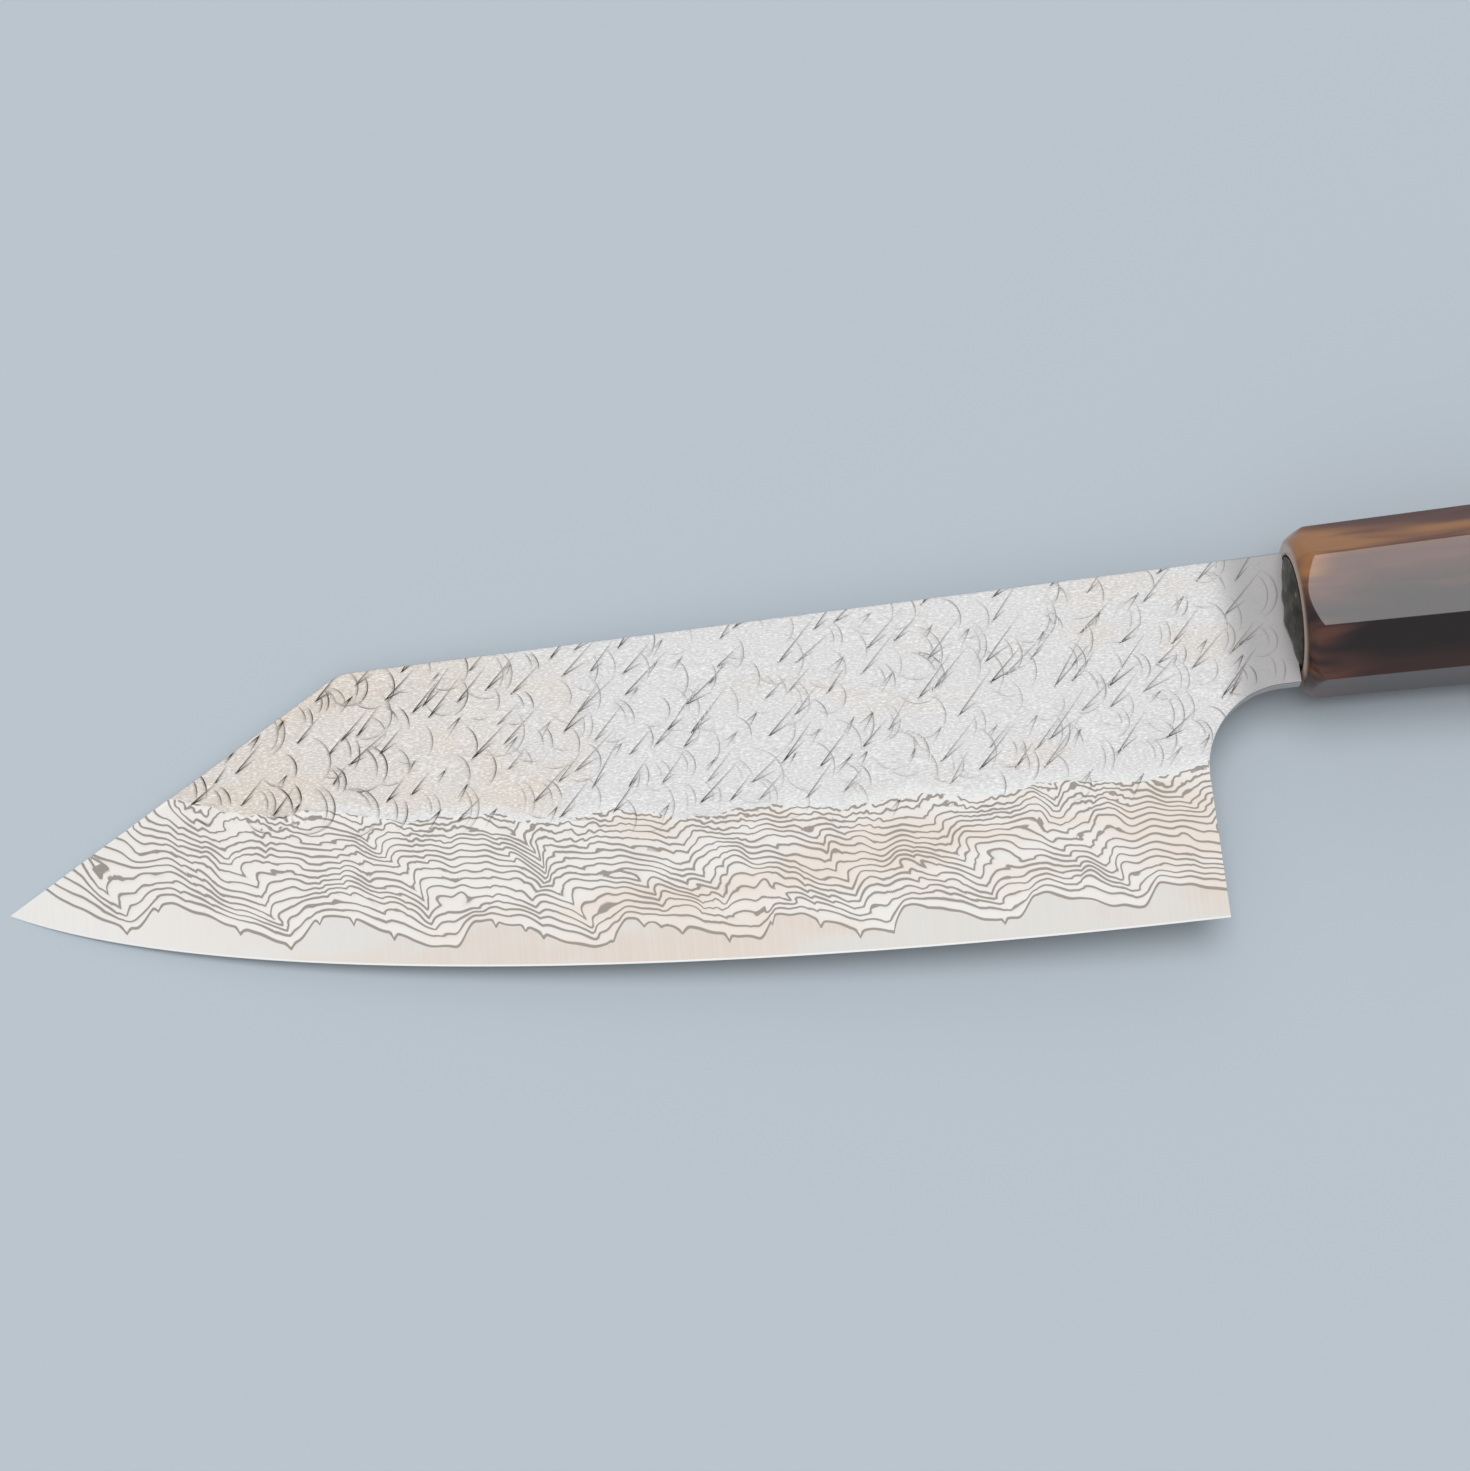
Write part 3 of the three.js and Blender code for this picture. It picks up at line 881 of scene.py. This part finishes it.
class Look:
    """A node material with a Principled surface."""

    def __init__(self, name, **values):
        self.material = bpy.data.materials.new(name)
        self.material.use_nodes = True
        self.tree = self.material.node_tree
        self.surface = self.tree.nodes["Principled BSDF"]
        self.put(self.surface, values)

    def put(self, node, values):
        for name, value in values.items():
            if isinstance(value, bpy.types.NodeSocket):
                self.tree.links.new(value, node.inputs[name])
            else:
                node.inputs[name].default_value = value

    def node(self, kind, inputs, output=0, **settings):
        node = self.tree.nodes.new(kind)
        for name, value in settings.items():
            setattr(node, name, value)
        self.put(node, inputs)
        return node.outputs[output]

    def position(self, axis):
        """The object coordinate along one axis."""
        where = self.node("ShaderNodeTexCoord", {}, output="Object")
        return self.node("ShaderNodeSeparateXYZ", {"Vector": where}, output=axis)

    def place(self, x, y, z):
        """Object coordinates scaled so that one unit is x, y and z long."""
        where = self.node("ShaderNodeTexCoord", {}, output="Object")
        return self.node("ShaderNodeMapping", {"Vector": where, "Scale": (1 / x, 1 / y, 1 / z)})

    def noise(self, x, y, z, detail=2.0, distortion=0.0):
        inputs = {"Vector": self.place(x, y, z), "Scale": 1.0, "Detail": detail, "Distortion": distortion}
        return self.node("ShaderNodeTexNoise", inputs)

    def value(self, name):
        return self.node("ShaderNodeAttribute", {}, output="Fac", attribute_name=name)

    def math(self, operation, first, second=0.0):
        return self.node("ShaderNodeMath", {0: first, 1: second}, operation=operation)

    def fit(self, value, low, high, to_low=0.0, to_high=1.0):
        """Passes smoothly from one result to the other as the value goes from low to high."""
        inputs = {0: value, 1: low, 2: high, 3: to_low, 4: to_high}
        return self.node("ShaderNodeMapRange", inputs, interpolation_type="SMOOTHSTEP")

    def mix(self, share, first, second):
        inputs = {0: share, 6: as_colour(first), 7: as_colour(second)}
        return self.node("ShaderNodeMix", inputs, output=2, data_type="RGBA")

    def bump(self, height, distance, strength):
        return self.node("ShaderNodeBump", {"Strength": strength, "Distance": distance, "Height": height})


def as_colour(value):
    return (*value, 1.0) if isinstance(value, tuple) else value


def mark_share(look):
    """How dark the hammer marks are at a point of the surface: residue in their lines together with painted
    shade, and a softer painted shade inside each dent and between a gouge's two strokes.
    """
    lines = []
    for name in ("stroke", "arc"):
        place = look.value(name)
        line = look.fit(look.math("ABSOLUTE", place), 1.75, 0.4)
        # Painted shade on the hollow side of each line: inside a dent's rim and in the wedge between a
        # gouge's two strokes
        inside = look.math("MULTIPLY", look.fit(place, -6.0, -0.3, 0.0, 0.5), look.fit(place, 1.2, 0.2))
        lines.append(look.math("MULTIPLY", look.math("MAXIMUM", line, inside), look.value(name + "_residue_and_shade")))
    return look.math("MAXIMUM", *lines)


def tip_side(look, start, end):
    """Grows from 0 to 1 between two distances from the ferrule."""
    front = float(ORIGIN[0])
    return look.fit(look.position("X"), front - start, front - end)


def hammered_look():
    silver = (0.513, 0.494, 0.483)
    tan = (0.513, 0.45, 0.392)
    pale_steel = (0.56, 0.545, 0.53)
    neck_grey = (0.335, 0.32, 0.313)
    bright_grain = (0.7, 0.686, 0.672)
    dark_grain = (0.22, 0.212, 0.205)
    residue_and_shade_brown = (0.052, 0.04, 0.026)
    look = Look("hammered_steel", Metallic=1.0, Roughness=0.62)
    grain = look.noise(0.5 * MM, 0.15 * MM, 0.2 * MM, detail=3.0)
    cloud = look.noise(16 * MM, 9 * MM, 9 * MM)
    plain = look.value("plain")
    warm_tip = look.math("MULTIPLY", tip_side(look, 80 * MM, 135 * MM), 0.8)
    tint = look.math("ADD", look.fit(cloud, 0.4, 0.7, -0.2, 0.45), warm_tip)
    ground = look.mix(tint, silver, tan)
    ground = look.mix(look.value("pale"), ground, pale_steel)
    ground = look.mix(plain, ground, neck_grey)
    shine = look.math("MULTIPLY", look.fit(grain, 0.48, 0.72, 0.0, 0.7), look.fit(plain, 0.7, 0.0))
    ground = look.mix(shine, ground, bright_grain)
    ground = look.mix(look.fit(grain, 0.5, 0.25, 0.0, 0.3), ground, dark_grain)
    # Hammer marks drawn in brown: residue and painted shade
    marked = look.mix(mark_share(look), ground, residue_and_shade_brown)
    look.put(look.surface, {"Base Color": marked, "Normal": look.bump(grain, 0.02 * MM, 0.6)})
    return look.material


def damascus_look():
    cream = (0.563, 0.535, 0.51)
    tan = (0.555, 0.488, 0.436)
    tip_cream = (0.585, 0.55, 0.515)
    layer_shade = (0.38, 0.36, 0.34)
    etched_grey = (0.25, 0.222, 0.194)
    residue_and_shade_brown = (0.05, 0.046, 0.038)
    look = Look("damascus_steel", Metallic=1.0, Roughness=0.6)
    layer = look.value("layer")
    off_line = look.math("ABSOLUTE", look.math("SUBTRACT", layer, look.math("ROUND", layer)))
    width = look.value("line_width")
    line = look.fit(off_line, look.math("MULTIPLY", width, 1.35), look.math("MULTIPLY", width, 0.6))
    cloud = look.noise(22 * MM, 7 * MM, 9 * MM)
    ground = look.mix(look.fit(cloud, 0.42, 0.66), cream, tan)
    ground = look.mix(tip_side(look, 90 * MM, 150 * MM), ground, tip_cream)
    shade = look.fit(look.math("FRACT", layer), 0.6, 1.0, 0.0, 0.3)
    shaded = look.mix(shade, ground, layer_shade)
    etched = look.mix(line, shaded, etched_grey)
    # Hammer marks drawn in brown: residue and painted shade
    marked = look.mix(mark_share(look), etched, residue_and_shade_brown)
    look.put(look.surface, {"Base Color": marked, "Normal": look.bump(line, -0.01 * MM, 0.5)})
    return look.material


def core_look():
    cream = (0.495, 0.466, 0.435)
    tan = (0.5, 0.432, 0.38)
    tip_cream = (0.58, 0.55, 0.52)
    brushed_grey = (0.52, 0.505, 0.485)
    honed_white = (0.58, 0.575, 0.565)
    look = Look("core_steel", Metallic=1.0, Roughness=0.6)
    brush = look.noise(0.3 * MM, 14 * MM, 9 * MM, detail=3.0)
    cloud = look.noise(20 * MM, 7 * MM, 9 * MM)
    ground = look.mix(look.fit(cloud, 0.45, 0.66), cream, tan)
    ground = look.mix(tip_side(look, 110 * MM, 175 * MM), ground, tip_cream)
    brushed = look.mix(look.fit(brush, 0.35, 0.7, 0.0, 0.3), ground, brushed_grey)
    honed = look.mix(look.value("honed"), brushed, honed_white)
    look.put(look.surface, {"Base Color": honed, "Normal": look.bump(brush, 0.003 * MM, 0.3)})
    return look.material


def horn_warmth(look, marble):
    """How brown the horn is: most along its upper bevel, then at its nose and on its lowest side."""
    along = look.position("X")
    upwards = look.position("Y")
    front, middle = (float(place) for place in ORIGIN[:2])
    upper = look.fit(upwards, middle - 6 * MM, middle + 5 * MM, 0.0, 0.5)
    from_band = look.math("ABSOLUTE", look.math("SUBTRACT", upwards, middle + 7 * MM))
    band = look.fit(from_band, 3.4 * MM, 0.6 * MM)
    golden = look.math("MULTIPLY", band, look.fit(marble, 0.35, 0.6, 0.25, 0.75))
    below = look.fit(upwards, middle - 6 * MM, middle - 11 * MM, 0.0, 0.3)
    near_front = look.fit(along, front + 12 * MM, front)
    nose = look.math("MULTIPLY", near_front, look.fit(marble, 0.35, 0.65, 0.05, 0.6))
    warm = look.math("ADD", look.math("ADD", upper, golden), look.math("ADD", below, nose))
    return look.math("ADD", warm, look.fit(marble, 0.5, 0.75, 0.0, 0.3))


def horn_look():
    dark_horn = (0.013, 0.005, 0.005)
    brown_horn = (0.11, 0.04, 0.026)
    honey_horn = (0.35, 0.152, 0.05)
    dark_fibre = (0.02, 0.009, 0.007)
    rim_highlight = (0.6, 0.44, 0.33)
    look = Look("horn", Roughness=0.13, IOR=1.5)
    marble = look.noise(26 * MM, 5.5 * MM, 5.5 * MM, detail=1.5, distortion=0.9)
    fibre = look.noise(22 * MM, 0.9 * MM, 0.9 * MM, detail=2.0)
    warm = horn_warmth(look, marble)
    brown = look.mix(look.fit(warm, 0.1, 0.7), dark_horn, brown_horn)
    honey = look.mix(look.fit(warm, 0.65, 1.3), brown, honey_horn)
    fibred = look.mix(look.fit(fibre, 0.5, 0.75, 0.0, 0.12), honey, dark_fibre)
    # Painted highlight on the ferrule's front face
    rimmed = look.mix(look.value("rim"), fibred, rim_highlight)
    look.put(look.surface, {"Base Color": rimmed, "Normal": look.bump(fibre, 0.002 * MM, 0.1)})
    return look.material


def wood_look():
    dark_wood = (0.03, 0.014, 0.009)
    brown_wood = (0.1, 0.042, 0.023)
    dark_pore = (0.012, 0.007, 0.005)
    look = Look("dark_wood", Roughness=0.38, IOR=1.5)
    figure = look.noise(60 * MM, 3 * MM, 3 * MM, detail=4.0, distortion=0.8)
    pore = look.noise(7 * MM, 0.22 * MM, 0.22 * MM, detail=2.0)
    ground = look.mix(look.fit(figure, 0.35, 0.68), dark_wood, brown_wood)
    grained = look.mix(look.fit(pore, 0.56, 0.72, 0.0, 0.75), ground, dark_pore)
    look.put(look.surface, {"Base Color": grained, "Normal": look.bump(pore, -0.03 * MM, 0.5)})
    return look.material


def resin_look():
    black = (0.008, 0.007, 0.005)
    olive = (0.055, 0.05, 0.032)
    amber = (0.24, 0.19, 0.05)
    pale_film_and_highlight = (0.3, 0.28, 0.24)
    look = Look("resin", Roughness=0.3, IOR=1.5)
    cloud = look.noise(1.4 * MM, 2.2 * MM, 1.4 * MM, detail=3.0)
    fleck = look.noise(0.9 * MM, 1.4 * MM, 0.9 * MM, detail=1.0)
    mottled = look.mix(look.fit(cloud, 0.35, 0.7), black, olive)
    flecked = look.mix(look.fit(fleck, 0.69, 0.75), mottled, amber)
    # Pale band at the resin's edge: the thin coat and a painted highlight on its curved edge
    filmed = look.mix(look.value("film_and_highlight"), flecked, pale_film_and_highlight)
    look.put(look.surface, {"Base Color": filmed, "Normal": look.bump(cloud, 0.2 * MM, 0.6)})
    return look.material


# Stage

FLOOR_COLOUR = (0.5, 0.56, 0.612, 1.0)
FLOOR_HALF_SIZE = 4.0
FLOOR_GAP = 0.02 * MM


def build_floor():
    """A pale floor through the tip and the ferrule's lower front edge, where the knife rests."""
    nose_x = (FRONT_THICKNESS / 2 - NOSE_RADIUS) / NOSE_SLOPE
    drop = FRONT_THICKNESS / 2
    slope = drop / (nose_x - TIP_X)
    middle = Vector((nose_x, 0, -drop)) + Vector(ORIGIN)
    normal = Vector((slope, 0, 1)).normalized()
    mesh = bpy.data.meshes.new("floor")
    size = FLOOR_HALF_SIZE
    corners = [(-size, -size, 0), (size, -size, 0), (size, size, 0), (-size, size, 0)]
    mesh.from_pydata(corners, [], [(0, 1, 2, 3)])
    floor = bpy.data.objects.new("floor", mesh)
    floor.location = middle - normal * FLOOR_GAP
    floor.rotation_mode = "QUATERNION"
    floor.rotation_quaternion = Vector((0, 0, 1)).rotation_difference(normal)
    bpy.context.scene.collection.objects.link(floor)
    look = Look("floor", Roughness=0.9)
    look.put(look.surface, {"Base Color": FLOOR_COLOUR, "Specular IOR Level": 0.2})
    mesh.materials.append(look.material)


def add_soft_light(name, direction, spread, strength):
    """Even light from a wide round patch of the studio's ceiling."""
    data = bpy.data.lights.new(name, "SUN")
    data.angle = math.radians(spread)
    data.energy = strength
    light = bpy.data.objects.new(name, data)
    light.rotation_mode = "QUATERNION"
    light.rotation_quaternion = Vector(direction).to_track_quat("Z", "Y")
    light.location = Vector(direction)
    bpy.context.scene.collection.objects.link(light)


def build_light():
    add_soft_light("overhead_light", direction=(0.04, 0.08, 1.0), spread=42, strength=1.7)
    add_soft_light("front_light", direction=(-0.1, -0.5, 0.86), spread=50, strength=0.32)
    add_soft_light("back_light", direction=(-0.1, 0.85, 0.5), spread=40, strength=0.15)
    build_backdrop()


def build_backdrop():
    """Dim white light from all round. The camera and mirrored rays see the floor's colour in its place."""
    world = bpy.data.worlds.new("studio")
    world.use_nodes = True
    tree = world.node_tree
    ambient = tree.nodes["Background"]
    ambient.inputs["Color"].default_value = (0.95, 0.97, 1.0, 1.0)
    ambient.inputs["Strength"].default_value = 0.35
    backdrop = tree.nodes.new("ShaderNodeBackground")
    backdrop.inputs["Color"].default_value = FLOOR_COLOUR
    path = tree.nodes.new("ShaderNodeLightPath")
    seen = path.outputs["Is Camera Ray"]
    for kind in ("Is Glossy Ray", "Is Transmission Ray"):
        either = tree.nodes.new("ShaderNodeMath")
        either.operation = "MAXIMUM"
        tree.links.new(seen, either.inputs[0])
        tree.links.new(path.outputs[kind], either.inputs[1])
        seen = either.outputs[0]
    choice = tree.nodes.new("ShaderNodeMixShader")
    tree.links.new(seen, choice.inputs[0])
    tree.links.new(ambient.outputs[0], choice.inputs[1])
    tree.links.new(backdrop.outputs[0], choice.inputs[2])
    tree.links.new(choice.outputs[0], tree.nodes["World Output"].inputs["Surface"])
    bpy.context.scene.world = world


def build_camera():
    """The camera fitted to the knife's outline in the photograph."""
    right = Vector((0.9934053, -0.1143607, -0.0082186))
    up = Vector((0.1125918, 0.9594749, 0.2583235))
    back = Vector((-0.0216565, -0.2575453, 0.9660235))
    place = Vector((-88.660, -131.807, 463.691)) * MM + Vector(ORIGIN)
    data = bpy.data.cameras.new("camera")
    data.sensor_fit = "VERTICAL"
    data.sensor_height = 36
    data.lens = 85.717
    camera = bpy.data.objects.new("camera", data)
    turn = Matrix((right, up, back)).transposed()
    camera.matrix_world = Matrix.Translation(place) @ turn.to_4x4()
    bpy.context.scene.collection.objects.link(camera)
    bpy.context.scene.camera = camera


bpy.context.scene.view_settings.view_transform = "Standard"
build_camera()
build_light()
build_floor()

hammered = hammered_look()
damascus = damascus_look()
make_piece("core", "core_steel", core_look(), core_parts())
left_layers = damascus_parts(LEFT_PATTERN_RISE, LEFT_SEED)
make_piece("pattern_left", "damascus_left", damascus, left_layers)
right_layers = [mirrored(part) for part in damascus_parts(RIGHT_PATTERN_RISE, RIGHT_SEED)]
make_piece("pattern_right", "damascus_right", damascus, right_layers)
left_skin = skin_parts(LEFT_SKIN_STEP, LEFT_SKIN_RISE, LEFT_SEED)
make_piece("skin_left", "hammered_skin_left", hammered, left_skin)
right_skin = [mirrored(part) for part in skin_parts(RIGHT_SKIN_STEP, RIGHT_SKIN_RISE, RIGHT_SEED)]
make_piece("skin_right", "hammered_skin_right", hammered, right_skin)
make_piece("ferrule", "horn_ferrule", horn_look(), ferrule_parts())
make_piece("handle", "handle_body", wood_look(), body_parts())
make_piece("resin", "tang_resin", resin_look(), resin_parts())
